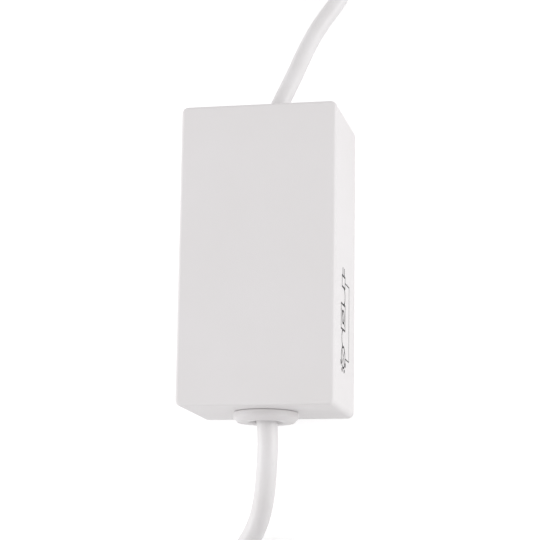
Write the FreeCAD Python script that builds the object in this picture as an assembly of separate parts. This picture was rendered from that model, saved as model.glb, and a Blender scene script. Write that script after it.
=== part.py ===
import FreeCAD, Part

import math
import os

from FreeCAD import Vector

# Inline dimmer with a supply cord at its -Y end and a lamp cord at its +Y end.
# Millimetres. The back lies on z = 0, the plain face looks up, X runs across the case.

# Case
case_width = 48.0
case_length = 92.0
case_depth = 35.0
wall = 2.0
face_wall = 2.2
corner_radius = 1.8
face_edge_radius = 1.0
inner_corner_radius = 0.6
base_gap = 0.25
base_floor = 2.2

# Cover screws, their posts in the hood and their pads on the base
cover_screw_radius = 1.5
cover_screw_reach = 9.0
cover_head_radius = 2.8
cover_head_height = 1.9
head_sink = 1.0
counterbore_clearance = 0.3
screw_hole_clearance = 0.2
post_hole_clearance = 0.05
hood_post_radius = 3.4
hood_post_inset_x = 3.7
hood_post_inset_y = 4.5
post_web = 1.6
pad_radius = 4.4
pad_height = 5.0
seat_gap = 0.05

# Bushings in the two end walls
axis_height = 17.5
neck_radius = 7.0
neck_clearance = 0.1
flange_radius = 9.8
flange_height = 3.2
flange_bevel = 1.2
inner_flange_radius = 8.8
inner_flange_thickness = 1.6
bushing_bore_radius = 4.85
bore_mouth_radius = 0.6
tongue_clearance = 0.15
tongue_top_drop = 3.5

# Cords
supply_diameter = 6.4
lamp_diameter = 5.5
core_diameter = 2.3
strand_diameter = 1.24
core_spread = 1.3
sheath_reach = 2.5
lamp_bend = 27.5
lamp_bend_setback = 1.2
lamp_heading_parts = (0.3, 1, -0.09)

# Cord clamps
clamp_inset = 7.5
clamp_length = 7.0
clamp_screw_spread = 8.6
clamp_post_radius = 3.7
clamp_web = 3.2
cradle_half_width = 5.5
cradle_drop = 0.7
bar_lift = 1.1
bar_thickness = 3.6
bar_half_width = 12.1
cradle_clearance = 0.05
bar_trough_clearance = 0.3
clamp_screw_radius = 1.45
clamp_hole_clearance = 0.05
clamp_screw_depth = 8.0
clamp_head_radius = 2.7
clamp_head_height = 1.9

# Circuit board
board_side_gap = 1.5
board_end_gap = 15.0
board_thickness = 1.6
standoff_height = 3.8
standoff_radius = 2.8
standoff_inset = 3.0
board_screw_radius = 1.25
board_screw_length = 5.0
board_head_radius = 2.2
board_head_height = 1.5

# Rising-cage terminals
terminal_setback = 7.0
terminal_depth = 9.5
terminal_width = 16.6
terminal_height = 13.8
pole_spread = 4.0
cage_width = 5.2
cage_depth = 5.0
cage_height = 7.2
cage_floor = 1.0
cage_window_width = 3.4
cage_window_height = 4.4
cage_travel = 1.8
cage_clearance = 0.1
cage_floor_height = 4.3
terminal_ledge = 0.5
terminal_screw_radius = 1.5
terminal_thread_clearance = 0.05
terminal_head_radius = 2.0
terminal_head_height = 1.5
well_clearance = 0.2
contact_width = 3.2
contact_thickness = 1.0
strand_clearance = 0.03

# Board parts
heat_plate_thickness = 1.5
heat_plate_height = 19.4
heat_plate_inset = 0.5
transistor_width = 10.0
transistor_spacing = 10.4
transistor_row_y = 13.4
tab_thickness = 1.3
transistor_body_thickness = 3.2
transistor_lead_height = 3.4
transistor_body_height = 9.0
tab_height = 6.4
fuse_share = 0.348
fuse_height = 8.0
varistor_share = 0.41
varistor_thickness = 4.0
film_share = 0.2927
film_length = 13.0
film_height = 12.0
electrolytic_share = 0.195
electrolytic_height = 12.0
choke_outer_share = 0.322
choke_inner_share = 0.166
choke_height = 5.0
choke_wire_radius = 0.45
choke_turns = 18
transformer_share = 0.5366
transformer_depth = 10.0
transformer_height = 10.0
switch_side = 6.0
switch_height = 3.4
plunger_radius = 1.7
plunger_height = 1.1
plunger_travel = 0.25
trimmer_side = 6.6
trimmer_height = 3.6
rotor_radius = 2.6
rotor_height = 1.2
radio_share = 0.7317
radio_height = 13.0
radio_thickness = 1.0
lead_radius = 0.35
lead_clearance = 0.05
flat_lead_x = 0.25
flat_lead_y = 0.4
lead_pitch = 2.54
part_lift = 0.3
wide_lead_offset = 2.5
can_lead_offset = 1.75
film_lead_inset = 1.5
can_edge_radius = 0.8
film_edge_radius = 0.4
winding_gap = 0.05
winding_start_angle = 40.0
winding_sweep = 280.0
driver_slot_half_width = 0.35
tab_hole_share = 0.55
transformer_leg = 2.4
bobbin_flange = 1.0
window_share = 0.7
chip_half_x = 2.5
chip_half_y = 2.0
chip_lift = 0.2
chip_height = 1.7
chip_lead_pitch = 1.27
chip_lead_half_width = 0.2
chip_lead_inner = 2.05
chip_lead_outer = 3.0
chip_lead_top = 0.4
radio_lift = 2.6
shield_depth = 1.8
shield_foot = 1.0
shield_top = 9.0
header_inset = 1.0
header_depth = 1.4
header_rise = 0.5

# Places on the board, from its middle, its edges and the terminals
left_column_inset = 1.5
service_share = 0.549
filter_inset = 5.0
film_end_y = 2.0
fuse_place_share = 0.467
choke_place_share = 0.439
choke_y = -5.0
transformer_place_share = 0.2927
transformer_y = -5.5
electrolytic_place_share = 0.3659
electrolytic_y = 5.2
radio_inset = 2.4
chip_place_share = 0.195
chip_y = 4.8
switch_y = 10.2
trimmer_y = 19.0

# Put-away cords: both lie on their tie, which lies on the floor
tie_width = 10.0
tie_thickness = 0.8
tie_clearance = 0.4
tie_slack = 0.7
floor_gap = 0.05
supply_route = [(0, -46, 17.5), (0, -53.2, 17.5), (-0.27, -62.64, 15.62), (-1.45, -71.63, 11.35),
                (-5.1, -79.69, 6.64)]
supply_last_run = 9.0
supply_entry_angle = 32.0
supply_layer_count = 4
supply_place_count = 34
supply_inner_bend = 18.3
supply_step = 7.2
supply_waist_step = 7.3
supply_run = 55.0
supply_draw = 4.0
supply_hank_x = 4.6
supply_hank_y = -115.0
lamp_inner_bend = 16.5
lamp_step = 6.3
lamp_waist_step = 6.4
lamp_run = 36.0
lamp_draw = 3.0
lamp_hank_x = 6.0
lamp_hank_y = 120.0
lamp_first_run = 6.5
lamp_route = [(6.4, 62.23, 13.85), (7.5, 71.07, 8.98), (11.34, 80.03, 5.74), (16.39, 88.7, 3.93)]
lamp_last_run = 10.4
lamp_entry_angle = 20.0
lamp_layer_count = 2
lamp_place_count = 22

# Flat two-pin plug
plug_width = 35.3
plug_thickness = 13.7
plug_length = 34.0
plug_outline = ((-0.03, 0.36, 0.83, 0.67), (0.18, 0.49, 0.88, 0.67), (0.44, 0.75, 0.93, 0.70),
                (0.71, 0.98, 1.0, 0.73), (0.97, 1.0, 1.0, 0.76), (1.0, 0.955, 0.88, 0.67))
boot_length = 16.0
pin_radius = 2.0
pin_length = 19.0
pin_root_spacing = 18.6
pin_tip_spacing = 17.5
sleeve_length = 10.0
pin_core_step = 0.55
plug_inset = 7.8
boot_radius = 4.6
boot_end_radius = 5.6
boot_groove = 0.7
groove_count = 4
groove_start = 2.5
groove_pitch = 3.0
groove_side = 0.2
groove_width = 1.0

# Bare lamp end
lamp_end_inset = 7.0
lamp_lead_out = 24.0
conductor_tail = 22.0
conductor_drop = 1.9
conductor_splay = 0.12
ferrule_length = 8.0
ferrule_radius = 0.8
collar_length = 6.0
collar_flare = 0.5

# Places that follow from the sizes above
half_width = case_width / 2
half_length = case_length / 2
inner_x = half_width - wall
inner_y = half_length - wall
ceiling = case_depth - face_wall
post_x = inner_x - hood_post_inset_x
post_y = inner_y - hood_post_inset_y
post_foot = pad_height + seat_gap
slot_radius = neck_radius + neck_clearance
clamp_y = inner_y - clamp_inset
bar_foot = axis_height + bar_lift
bar_top = bar_foot + bar_thickness
board_x = inner_x - board_side_gap
board_y = inner_y - board_end_gap
board_foot = base_floor + standoff_height
board_top = board_foot + board_thickness
standoff_x = board_x - standoff_inset
standoff_y = board_y - standoff_inset
part_foot = board_top + part_lift

UP = Vector(0, 0, 1)
ENDS = (-1, 1)
SIDES = (-1, 1)
CORNERS = [(x, y) for x in SIDES for y in ENDS]


def box(x0, x1, y0, y1, z0, z1):
    """A block between two limits along each axis."""
    x0, x1 = sorted((x0, x1))
    y0, y1 = sorted((y0, y1))
    z0, z1 = sorted((z0, z1))
    return Part.makeBox(x1 - x0, y1 - y0, z1 - z0, Vector(x0, y0, z0))


def rod(radius, base, tip):
    """A round bar from one point to another."""
    way = tip - base
    return Part.makeCylinder(radius, way.Length, base, way)


def post(radius, x, y, z0, z1):
    """An upright round bar."""
    return rod(radius, Vector(x, y, z0), Vector(x, y, z1))


def along_y(radius, x, z, y0, y1):
    """A round bar in line with the cords."""
    return rod(radius, Vector(x, y0, z), Vector(x, y1, z))


def joined(first, others):
    """One solid out of pieces that overlap, with the seams between flat faces removed."""
    return first.fuse(list(others)).removeSplitter()


def group(solids):
    """Separate solids that share a node."""
    return Part.makeCompound(list(solids))


def rounded_block(half_x, half_y, z0, z1, radius):
    """A block with round upright corners."""
    block = box(-half_x, half_x, -half_y, half_y, z0, z1)
    uprights = [edge for edge in block.Edges if edge.BoundBox.ZLength > (z1 - z0) / 2]
    return block.makeFillet(radius, uprights)


def revolved(profile, axis_point, axis):
    """A turned piece from a closed profile of straight sides."""
    wire = Part.makePolygon(list(profile) + [profile[0]])
    return Part.Face(wire).revolve(axis_point, axis, 360)


def mirrored(shape):
    """The same piece at the other end of the case."""
    return shape.mirror(Vector(), Vector(0, 1, 0))


def make_hood():
    """Face, sides and ends in one moulding, with four screw posts and two open slots for the bushings."""
    shell = rounded_block(half_width, half_length, 0, case_depth, corner_radius)
    rim = [edge for edge in shell.Edges if edge.BoundBox.ZMin > case_depth - seat_gap]
    shell = shell.makeFillet(face_edge_radius, rim)
    shell = shell.cut(rounded_block(inner_x, inner_y, -wall, ceiling, inner_corner_radius))
    inside = []
    for side, end in CORNERS:
        x, y = side * post_x, end * post_y
        inside.append(post(hood_post_radius, x, y, post_foot, ceiling + seat_gap))
        web_foot = pad_height + post_web
        inside.append(box(x, side * (inner_x + seat_gap), y - post_web / 2, y + post_web / 2,
                          web_foot, ceiling + seat_gap))
        inside.append(box(x - post_web / 2, x + post_web / 2, y, end * (inner_y + seat_gap),
                          web_foot, ceiling + seat_gap))
    shell = shell.fuse(inside)
    holes = []
    for side, end in CORNERS:
        hole_top = pad_height + cover_screw_reach + wall
        holes.append(post(cover_screw_radius + post_hole_clearance, side * post_x, end * post_y,
                          post_foot - wall, hole_top))
    for end in ENDS:
        outside, within = end * (half_length + wall), end * (inner_y - wall)
        holes.append(box(-slot_radius, slot_radius, outside, within, -wall, axis_height))
        holes.append(along_y(slot_radius, 0, axis_height, outside, within))
    return shell.cut(holes).removeSplitter()


def clamp_pedestal(end, cord_radius):
    """Two screw posts, a web between them and a cradle that the cord lies in."""
    y = end * clamp_y
    top = axis_height - cradle_drop
    pieces = [post(clamp_post_radius, side * clamp_screw_spread, y, 0, top) for side in SIDES]
    pieces.append(box(-clamp_screw_spread, clamp_screw_spread, y - clamp_web / 2, y + clamp_web / 2, 0, top))
    pieces.append(box(-cradle_half_width, cradle_half_width, y - clamp_length / 2, y + clamp_length / 2, 0, top))
    trough = along_y(cord_radius + cradle_clearance, 0, axis_height, y - clamp_length, y + clamp_length)
    holes = [post(clamp_screw_radius + clamp_hole_clearance, side * clamp_screw_spread, y,
                  top - clamp_screw_depth, case_depth) for side in SIDES]
    return pieces, [trough] + holes


def end_tongue(end):
    """Fills the hood's open slot below a bushing, flush with the end wall."""
    half = slot_radius - tongue_clearance
    outer = end * half_length
    tongue = box(-half, half, outer, end * inner_y, 0, axis_height - tongue_top_drop)
    foot = box(-half, half, outer, end * (inner_y - wall), 0, base_floor)
    saddle = along_y(slot_radius, 0, axis_height, end * (half_length + wall), end * (inner_y - wall))
    return [tongue, foot], [saddle]


def make_base_plate():
    """The back, let into the hood, with screw pads, board posts, cord cradles and end tongues."""
    plate_x, plate_y = inner_x - base_gap, inner_y - base_gap
    outline = rounded_block(plate_x, plate_y, 0, case_depth, inner_corner_radius)
    plate = rounded_block(plate_x, plate_y, 0, base_floor, inner_corner_radius)
    added, removed = [], []
    for side, end in CORNERS:
        x, y = side * post_x, end * post_y
        added.append(post(pad_radius, x, y, 0, pad_height).common(outline))
        removed.append(post(cover_screw_radius + screw_hole_clearance, x, y, -wall, pad_height + wall))
        removed.append(post(cover_head_radius + counterbore_clearance, x, y, -wall,
                            head_sink + cover_head_height))
        added.append(post(standoff_radius, side * standoff_x, end * standoff_y, 0, board_foot))
        removed.append(post(board_screw_radius + clamp_hole_clearance, side * standoff_x, end * standoff_y,
                            base_floor / 2, board_foot + wall))
    for end, diameter in zip(ENDS, (supply_diameter, lamp_diameter)):
        for pieces, holes in (clamp_pedestal(end, diameter / 2), end_tongue(end)):
            added += pieces
            removed += holes
    return plate.fuse(added).cut(removed).removeSplitter()


def cross_recess(x, y, z, way, width, depth):
    """A cross-shaped drive cut into a screw head, way = 1 from above and -1 from below."""
    arm = width / 4
    slots = [box(x - width / 2, x + width / 2, y - arm / 2, y + arm / 2, z, z - way * depth),
             box(x - arm / 2, x + arm / 2, y - width / 2, y + width / 2, z, z - way * depth)]
    return slots


def make_cover_screws():
    """Four screws from the back, sunk into the base, up into the hood's posts."""
    screws = []
    for side, end in CORNERS:
        x, y = side * post_x, end * post_y
        seat = head_sink + cover_head_height - seat_gap
        head = post(cover_head_radius, x, y, head_sink, seat)
        shank = post(cover_screw_radius, x, y, head_sink, pad_height + cover_screw_reach)
        screw = joined(head, [shank])
        screws.append(screw.cut(cross_recess(x, y, head_sink, -1, cover_head_radius * 1.2,
                                             cover_head_height * 0.6)))
    return group(screws)


def make_bushing(end):
    """Round bushing with a bevelled outer flange, a neck in the wall and a thin inner flange."""
    y_out = half_length + flange_height
    y_wall = half_length + neck_clearance
    y_inner = inner_y - neck_clearance
    y_in = y_inner - inner_flange_thickness
    profile = [Vector(bushing_bore_radius + bore_mouth_radius, -y_out, axis_height),
               Vector(flange_radius - flange_bevel, -y_out, axis_height),
               Vector(flange_radius, -(y_out - flange_bevel), axis_height),
               Vector(flange_radius, -y_wall, axis_height),
               Vector(neck_radius, -y_wall, axis_height),
               Vector(neck_radius, -y_inner, axis_height),
               Vector(inner_flange_radius, -y_inner, axis_height),
               Vector(inner_flange_radius, -y_in, axis_height),
               Vector(bushing_bore_radius, -y_in, axis_height),
               Vector(bushing_bore_radius, -(y_out - bore_mouth_radius), axis_height)]
    bushing = revolved(profile, Vector(0, 0, axis_height), Vector(0, 1, 0))
    return bushing if end < 0 else mirrored(bushing)


def make_clamp_bar(end, cord_radius):
    """A bar across the cord, with a trough over it."""
    y = end * clamp_y
    half = clamp_length / 2
    straight = bar_half_width - half
    bar = joined(box(-straight, straight, y - half, y + half, bar_foot, bar_top),
                 [post(half, side * straight, y, bar_foot, bar_top) for side in SIDES])
    trough = along_y(cord_radius + bar_trough_clearance, 0, axis_height, y - clamp_length, y + clamp_length)
    holes = [post(clamp_screw_radius + clamp_hole_clearance, side * clamp_screw_spread, y,
                  bar_foot - wall, bar_top + wall) for side in SIDES]
    return bar.cut([trough] + holes)


def make_clamp_screws(end):
    """Two pan-head screws down through the bar into the cradle's posts."""
    y = end * clamp_y
    tip = axis_height - cradle_drop - clamp_screw_depth + wall
    head_foot = bar_top + seat_gap
    screws = []
    for side in SIDES:
        x = side * clamp_screw_spread
        head = post(clamp_head_radius, x, y, head_foot, head_foot + clamp_head_height)
        screw = joined(head, [post(clamp_screw_radius, x, y, tip, head_foot + clamp_head_height)])
        screws.append(screw.cut(cross_recess(x, y, head_foot + clamp_head_height, 1,
                                             clamp_head_radius * 1.2, clamp_head_height * 0.6)))
    return group(screws)


def case_nodes():
    """Hood, base, bushings and clamps."""
    return {
        "hood": make_hood(),
        "base_plate": make_base_plate(),
        "cover_screws": make_cover_screws(),
        "input_bushing": make_bushing(-1),
        "output_bushing": make_bushing(1),
        "input_clamp_bar": make_clamp_bar(-1, supply_diameter / 2),
        "input_clamp_screws": make_clamp_screws(-1),
        "output_clamp_bar": make_clamp_bar(1, lamp_diameter / 2),
        "output_clamp_screws": make_clamp_screws(1),
    }


# Terminals: the same block at each end, its mouth facing the cord
terminal_mouth = board_y - terminal_setback
terminal_back = terminal_mouth - terminal_depth
terminal_top = board_top + terminal_height
pole_y = (terminal_mouth + terminal_back) / 2 + cage_clearance
cage_foot = board_top + cage_floor_height
cage_top = cage_foot + cage_height
cavity_foot = cage_foot - cage_travel - cage_clearance * 4
cavity_top = cage_top + cage_clearance
strand_z = cage_foot + cage_floor + strand_clearance + strand_diameter / 2
contact_foot = strand_z + strand_diameter / 2 + strand_clearance
contact_top = contact_foot + contact_thickness
cavity_x = cage_width / 2 + cage_clearance
cavity_y = cage_depth / 2 + cage_clearance
contact_front = pole_y + cavity_y - cage_clearance
contact_back = terminal_back + contact_thickness
POLES = (("live", -1), ("neutral", 1))


def make_terminal_housing():
    """Moulded two-pole block with a cage shaft, a screw well and a wire mouth for each pole."""
    y0, y1 = terminal_back, terminal_mouth
    block = box(-terminal_width / 2, terminal_width / 2, y0, y1, board_top, terminal_top)
    holes = []
    well_foot = cavity_top + terminal_ledge
    for side in SIDES:
        x = side * pole_spread
        holes.append(box(x - cavity_x, x + cavity_x, pole_y - cavity_y, pole_y + cavity_y,
                         cavity_foot, cavity_top))
        holes.append(post(terminal_screw_radius + cage_clearance, x, pole_y, cavity_foot, terminal_top))
        holes.append(post(terminal_head_radius + well_clearance, x, pole_y, well_foot, terminal_top + wall))
        mouth = core_diameter / 2 + well_clearance
        holes.append(box(x - mouth * 1.4, x + mouth * 1.4, pole_y, y1 + wall,
                         strand_z - mouth - cage_travel / 2, strand_z + mouth))
        slot = contact_width / 2 + seat_gap
        holes.append(box(x - slot, x + slot, contact_back - seat_gap, pole_y,
                         contact_foot - seat_gap, contact_top + seat_gap))
        holes.append(box(x - slot, x + slot, contact_back - seat_gap,
                         contact_back + contact_thickness + seat_gap, board_top - wall, contact_top + seat_gap))
    return block.cut(holes)


def make_contact(x):
    """Tinned bar through the cage's window, bent down into the board behind it."""
    half = contact_width / 2
    bar = box(x - half, x + half, contact_back, contact_front, contact_foot, contact_top)
    leg = box(x - half, x + half, contact_back, contact_back + contact_thickness,
              board_top + seat_gap, contact_top)
    pin = box(x - half / 3, x + half / 3, contact_back, contact_back + contact_thickness,
              board_foot - contact_thickness, contact_top)
    return joined(bar, [leg, pin])


def make_cage(x):
    """Threaded cage that the screw draws up under the contact bar."""
    y = pole_y
    cage = box(x - cage_width / 2, x + cage_width / 2, y - cage_depth / 2, y + cage_depth / 2,
               cage_foot, cage_top)
    window_foot = cage_foot + cage_floor
    window = box(x - cage_window_width / 2, x + cage_window_width / 2, y - cage_depth, y + cage_depth,
                 window_foot, window_foot + cage_window_height)
    thread = post(terminal_screw_radius + terminal_thread_clearance, x, y, window_foot, cage_top + wall)
    return cage.cut([window, thread])


def make_terminal_screw(x):
    """Slotted screw, its head in the well and its tip on the contact bar."""
    head_foot = cavity_top + terminal_ledge + seat_gap
    head_top = head_foot + terminal_head_height
    screw = joined(post(terminal_head_radius, x, pole_y, head_foot, head_top),
                   [post(terminal_screw_radius, x, pole_y, contact_top + seat_gap, head_top)])
    slot = box(x - terminal_head_radius, x + terminal_head_radius, pole_y - terminal_head_radius / 5,
               pole_y + terminal_head_radius / 5, head_top - terminal_head_height / 2, head_top)
    return screw.cut(slot)


def turned_end(shape, end):
    """A terminal piece made at the +Y end, or turned round to the -Y end."""
    return shape if end > 0 else mirrored(shape)


def terminal_nodes():
    """Blocks, contacts, cages and screws of both ends."""
    made = {}
    contacts = []
    for end, place in zip(ENDS, ("input", "output")):
        made[place + "_terminal_housing"] = turned_end(make_terminal_housing(), end)
        for pole, side in POLES:
            x = side * pole_spread
            made[place + "_" + pole + "_cage"] = turned_end(make_cage(x), end)
            made[place + "_" + pole + "_screw"] = turned_end(make_terminal_screw(x), end)
            contacts.append(turned_end(make_contact(x), end))
    made["terminal_contacts"] = group(contacts)
    return made


def biarc(p0, t0, p1, t1):
    """Two tangent arcs, or a straight line, from one point and heading to another."""
    t0, t1 = Vector(t0).normalize(), Vector(t1).normalize()
    way = p1 - p0
    spread = t0.dot(t1) - 1
    along = way.dot(t0 + t1)
    if abs(spread) < 1e-9:
        reach = way.dot(way) / (2 * along)
    else:
        reach = (along - math.sqrt(along * along - 2 * spread * way.dot(way))) / (2 * spread)
    joint = (p0 + t0 * reach + p1 - t1 * reach) / 2
    return arc_through(p0, p0 + t0 * reach, joint) + arc_through(joint, p1 - t1 * reach, p1)


def arc_through(start, corner, stop):
    """The arc that touches both sides of a corner, or a line where they are straight."""
    chord = stop - start
    middle = (start + stop) / 2
    rise = corner - middle
    if rise.Length < 1e-5:
        return [Part.LineSegment(start, stop)]
    half_turn = math.atan2(rise.Length, chord.Length / 2)
    reach = (corner - start).Length
    sagitta = reach * math.cos(half_turn) * (1 - math.cos(half_turn)) / math.sin(half_turn)
    return [Part.Arc(start, middle + Vector(rise).normalize() * sagitta, stop)]


def tube(curves, radius):
    """A round tube along lines and arcs that follow on smoothly."""
    path = Part.Wire([curve.toShape() for curve in curves])
    first = curves[0]
    start = first.value(first.FirstParameter)
    heading = first.tangent(first.FirstParameter)[0]
    ring = Part.Wire([Part.Circle(start, heading, radius).toShape()])
    sweep = Part.BRepOffsetAPI.MakePipeShell(path)
    sweep.add(ring)
    sweep.build()
    sweep.makeSolid()
    return sweep.shape()


def length_of(curves):
    """Length along lines and arcs."""
    return sum(curve.length() for curve in curves)


lamp_start = clamp_y + clamp_length / 2 - lamp_bend_setback
lamp_heading = Vector(*lamp_heading_parts).normalize()
sheath_end = board_y + sheath_reach


def lamp_exit():
    """Where the lamp cord's held end stops, bent a little towards the side that it leaves for."""
    turn = math.acos(lamp_heading.dot(Vector(0, 1, 0)))
    aside = Vector(lamp_heading.x, 0, lamp_heading.z).normalize()
    corner = Vector(0, lamp_start + lamp_bend * math.sin(turn), axis_height)
    return corner + aside * lamp_bend * (1 - math.cos(turn))


def make_lamp_sheath():
    """The lamp cord's sheath from the terminals, through the clamp, to the bushing's bore."""
    corner = Vector(0, lamp_start, axis_height)
    bend = biarc(corner, Vector(0, 1, 0), lamp_exit(), lamp_heading)
    return tube([Part.LineSegment(Vector(0, sheath_end, axis_height), corner)] + bend, lamp_diameter / 2)


def core_path(side, end):
    """One insulated core, spread from the sheath to its pole and stepped down to the cage."""
    start = Vector(side * core_spread, end * sheath_end, axis_height)
    entry = Vector(side * pole_spread, end * (terminal_mouth + core_diameter / 2), strand_z)
    stop = Vector(entry.x, end * (pole_y + cavity_y + seat_gap), strand_z)
    inwards = Vector(0, -end, 0)
    return biarc(start, inwards, entry, inwards) + [Part.LineSegment(entry, stop)], stop


def wiring_nodes():
    """Held ends of both cords, their cores and the bared strands in the cages."""
    cores = {"live": [], "neutral": []}
    strands = []
    for end in ENDS:
        for pole, side in POLES:
            path, stop = core_path(side, end)
            cores[pole].append(tube(path, core_diameter / 2))
            tip = Vector(stop.x, end * (pole_y - cage_depth / 2), stop.z)
            strands.append(rod(strand_diameter / 2, stop, tip))
    return {
        "supply_sheath": along_y(supply_diameter / 2, 0, axis_height, -sheath_end, -half_length),
        "lamp_sheath": make_lamp_sheath(),
        "live_cores": group(cores["live"]),
        "neutral_cores": group(cores["neutral"]),
        "core_strands": group(strands),
    }


# Places of the board parts, from the board's edges and the terminals
plate_x1 = board_x - heat_plate_inset
plate_x0 = plate_x1 - heat_plate_thickness
beside_terminal = board_x - terminal_width / 2
service_x = -terminal_width / 2 - beside_terminal * service_share
varistor_radius = beside_terminal * varistor_share
fuse_radius = beside_terminal * fuse_share
film_width = board_x * film_share
filter_y = -terminal_mouth + filter_inset
film_x = -board_x + left_column_inset + film_width / 2
film_y = film_end_y - film_length / 2
fuse_x = terminal_width / 2 + beside_terminal * fuse_place_share
choke_x = board_x * choke_place_share
choke_outer_radius = board_x * choke_outer_share
choke_inner_radius = board_x * choke_inner_share
transformer_x = -board_x * transformer_place_share
transformer_width = board_x * transformer_share
electrolytic_x = -board_x * electrolytic_place_share
electrolytic_radius = board_x * electrolytic_share
chip_x = board_x * chip_place_share
radio_width = board_x * radio_share
radio_y = terminal_back - radio_inset
transistor_places = [transistor_row_y - transistor_spacing / 2, transistor_row_y + transistor_spacing / 2]
transistor_back = plate_x0 - seat_gap
transistor_front = transistor_back - tab_thickness - transistor_body_thickness
tab_hole_height = board_top + transistor_lead_height + transistor_body_height + tab_height * tab_hole_share
lead_tip = board_foot - contact_thickness


def wire_lead_places():
    """Where round leads go through the board: capacitors, varistor and fuse."""
    places = []
    for x, y, dx, dy in ((film_x, film_y, 0, film_length / 2 - film_lead_inset),
                         (service_x, filter_y, wide_lead_offset, 0),
                         (fuse_x, filter_y, wide_lead_offset, 0),
                         (electrolytic_x, electrolytic_y, can_lead_offset, 0)):
        places += [(x + side * dx, y + side * dy) for side in SIDES]
    return places


def flat_lead_places():
    """Where flat leads go through the board: each transistor's three and each contact's one."""
    middle = (transistor_front + transistor_back) / 2
    places = [(middle, y + number * lead_pitch, flat_lead_x, flat_lead_y)
              for y in transistor_places for number in (-1, 0, 1)]
    pin_y = contact_back + contact_thickness / 2
    places += [(side * pole_spread, end * pin_y, contact_width / 6, contact_thickness / 2)
               for side, end in CORNERS]
    return places


def make_board():
    """The circuit board, with its screw holes and a hole for every lead."""
    board = box(-board_x, board_x, -board_y, board_y, board_foot + seat_gap, board_top)
    holes = [post(board_screw_radius + screw_hole_clearance, side * standoff_x, end * standoff_y,
                  board_foot - wall, board_top + wall) for side, end in CORNERS]
    holes += [post(lead_radius + lead_clearance, x, y, board_foot - wall, board_top + wall)
              for x, y in wire_lead_places()]
    holes += [box(x - dx - lead_clearance, x + dx + lead_clearance,
                  y - dy - lead_clearance, y + dy + lead_clearance, board_foot - wall, board_top + wall)
              for x, y, dx, dy in flat_lead_places()]
    return board.cut(holes)


def make_board_screws():
    """Four small screws that hold the board on the base's posts."""
    screws = []
    foot = board_top + seat_gap
    for side, end in CORNERS:
        x, y = side * standoff_x, end * standoff_y
        head = post(board_head_radius, x, y, foot, foot + board_head_height)
        shank = post(board_screw_radius, x, y, foot - board_screw_length, foot + board_head_height)
        screw = joined(head, [shank])
        screws.append(screw.cut(cross_recess(x, y, foot + board_head_height, 1, board_head_radius * 1.2,
                                             board_head_height * 0.6)))
    return group(screws)


def make_choke_core():
    """Ferrite ring, lying on the board."""
    z0 = part_foot + choke_wire_radius * 2
    ring = post(choke_outer_radius - choke_wire_radius * 2, choke_x, choke_y, z0, z0 + choke_height)
    hole = post(choke_inner_radius + choke_wire_radius * 2, choke_x, choke_y, board_foot, terminal_top)
    return ring.cut(hole)


def make_choke_winding():
    """Enamelled wire wound round the ring, with a gap at one side between its ends."""
    gap = winding_gap
    z0 = part_foot + choke_wire_radius
    z1 = part_foot + choke_wire_radius * 3 + choke_height
    r0 = choke_inner_radius + choke_wire_radius - gap
    r1 = choke_outer_radius - choke_wire_radius + gap
    centre = Vector(choke_x, choke_y, 0)
    corners = []
    for number in range(choke_turns + 1):
        angle = math.radians(winding_start_angle + number * winding_sweep / choke_turns)
        out = Vector(math.cos(angle), math.sin(angle), 0)
        corners.append(centre + out * r0 + UP * (z0 - gap))
        if number < choke_turns:
            corners += [centre + out * r1 + UP * (z0 - gap), centre + out * r1 + UP * (z1 + gap),
                        centre + out * r0 + UP * (z1 + gap)]
    path = Part.makePolygon(corners)
    ring = Part.Wire([Part.Circle(corners[0], corners[1] - corners[0], choke_wire_radius).toShape()])
    return path.makePipeShell([ring], True, False, 2)


def make_transistors():
    """Two power transistors: moulded bodies, and metal tabs with three leads each."""
    bodies, frames, screws = [], [], []
    back = transistor_back
    body_foot = board_top + transistor_lead_height
    body_top = body_foot + transistor_body_height
    front = transistor_front
    hole_z = tab_hole_height
    for y in transistor_places:
        half = transistor_width / 2
        bodies.append(box(front, back - tab_thickness - seat_gap, y - half, y + half, body_foot, body_top))
        tab = box(back - tab_thickness, back, y - half, y + half, body_foot, body_top + tab_height)
        hole = rod(cover_screw_radius + screw_hole_clearance, Vector(front, y, hole_z),
                   Vector(back + wall, y, hole_z))
        frames.append(tab.cut(hole))
        lead_x = (front + back) / 2
        for offset in (-lead_pitch, 0, lead_pitch):
            frames.append(box(lead_x - flat_lead_x, lead_x + flat_lead_x, y + offset - flat_lead_y,
                              y + offset + flat_lead_y, lead_tip, body_foot - seat_gap))
        head_end = back - tab_thickness - seat_gap
        head = rod(cover_head_radius, Vector(head_end - cover_head_height, y, hole_z), Vector(head_end, y, hole_z))
        shank = rod(cover_screw_radius, Vector(head_end - cover_head_height, y, hole_z),
                    Vector(plate_x1 + wall / 4, y, hole_z))
        slot = box(head_end - cover_head_height, head_end - cover_head_height / 2, y - cover_head_radius,
                   y + cover_head_radius, hole_z - driver_slot_half_width, hole_z + driver_slot_half_width)
        screws.append(joined(head, [shank]).cut(slot))
    return group(bodies), group(frames), group(screws)


def make_heat_spreader():
    """Aluminium plate on the board's edge, with a tapped hole behind each transistor."""
    y0, y1 = transistor_places[0] - transistor_width / 2, transistor_places[1] + transistor_width / 2
    plate = box(plate_x0, plate_x1, y0, y1, board_top + seat_gap, board_top + seat_gap + heat_plate_height)
    holes = [rod(cover_screw_radius + post_hole_clearance, Vector(plate_x0 - wall, y, tab_hole_height),
                 Vector(plate_x1 + wall, y, tab_hole_height)) for y in transistor_places]
    return plate.cut(holes)


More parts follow.
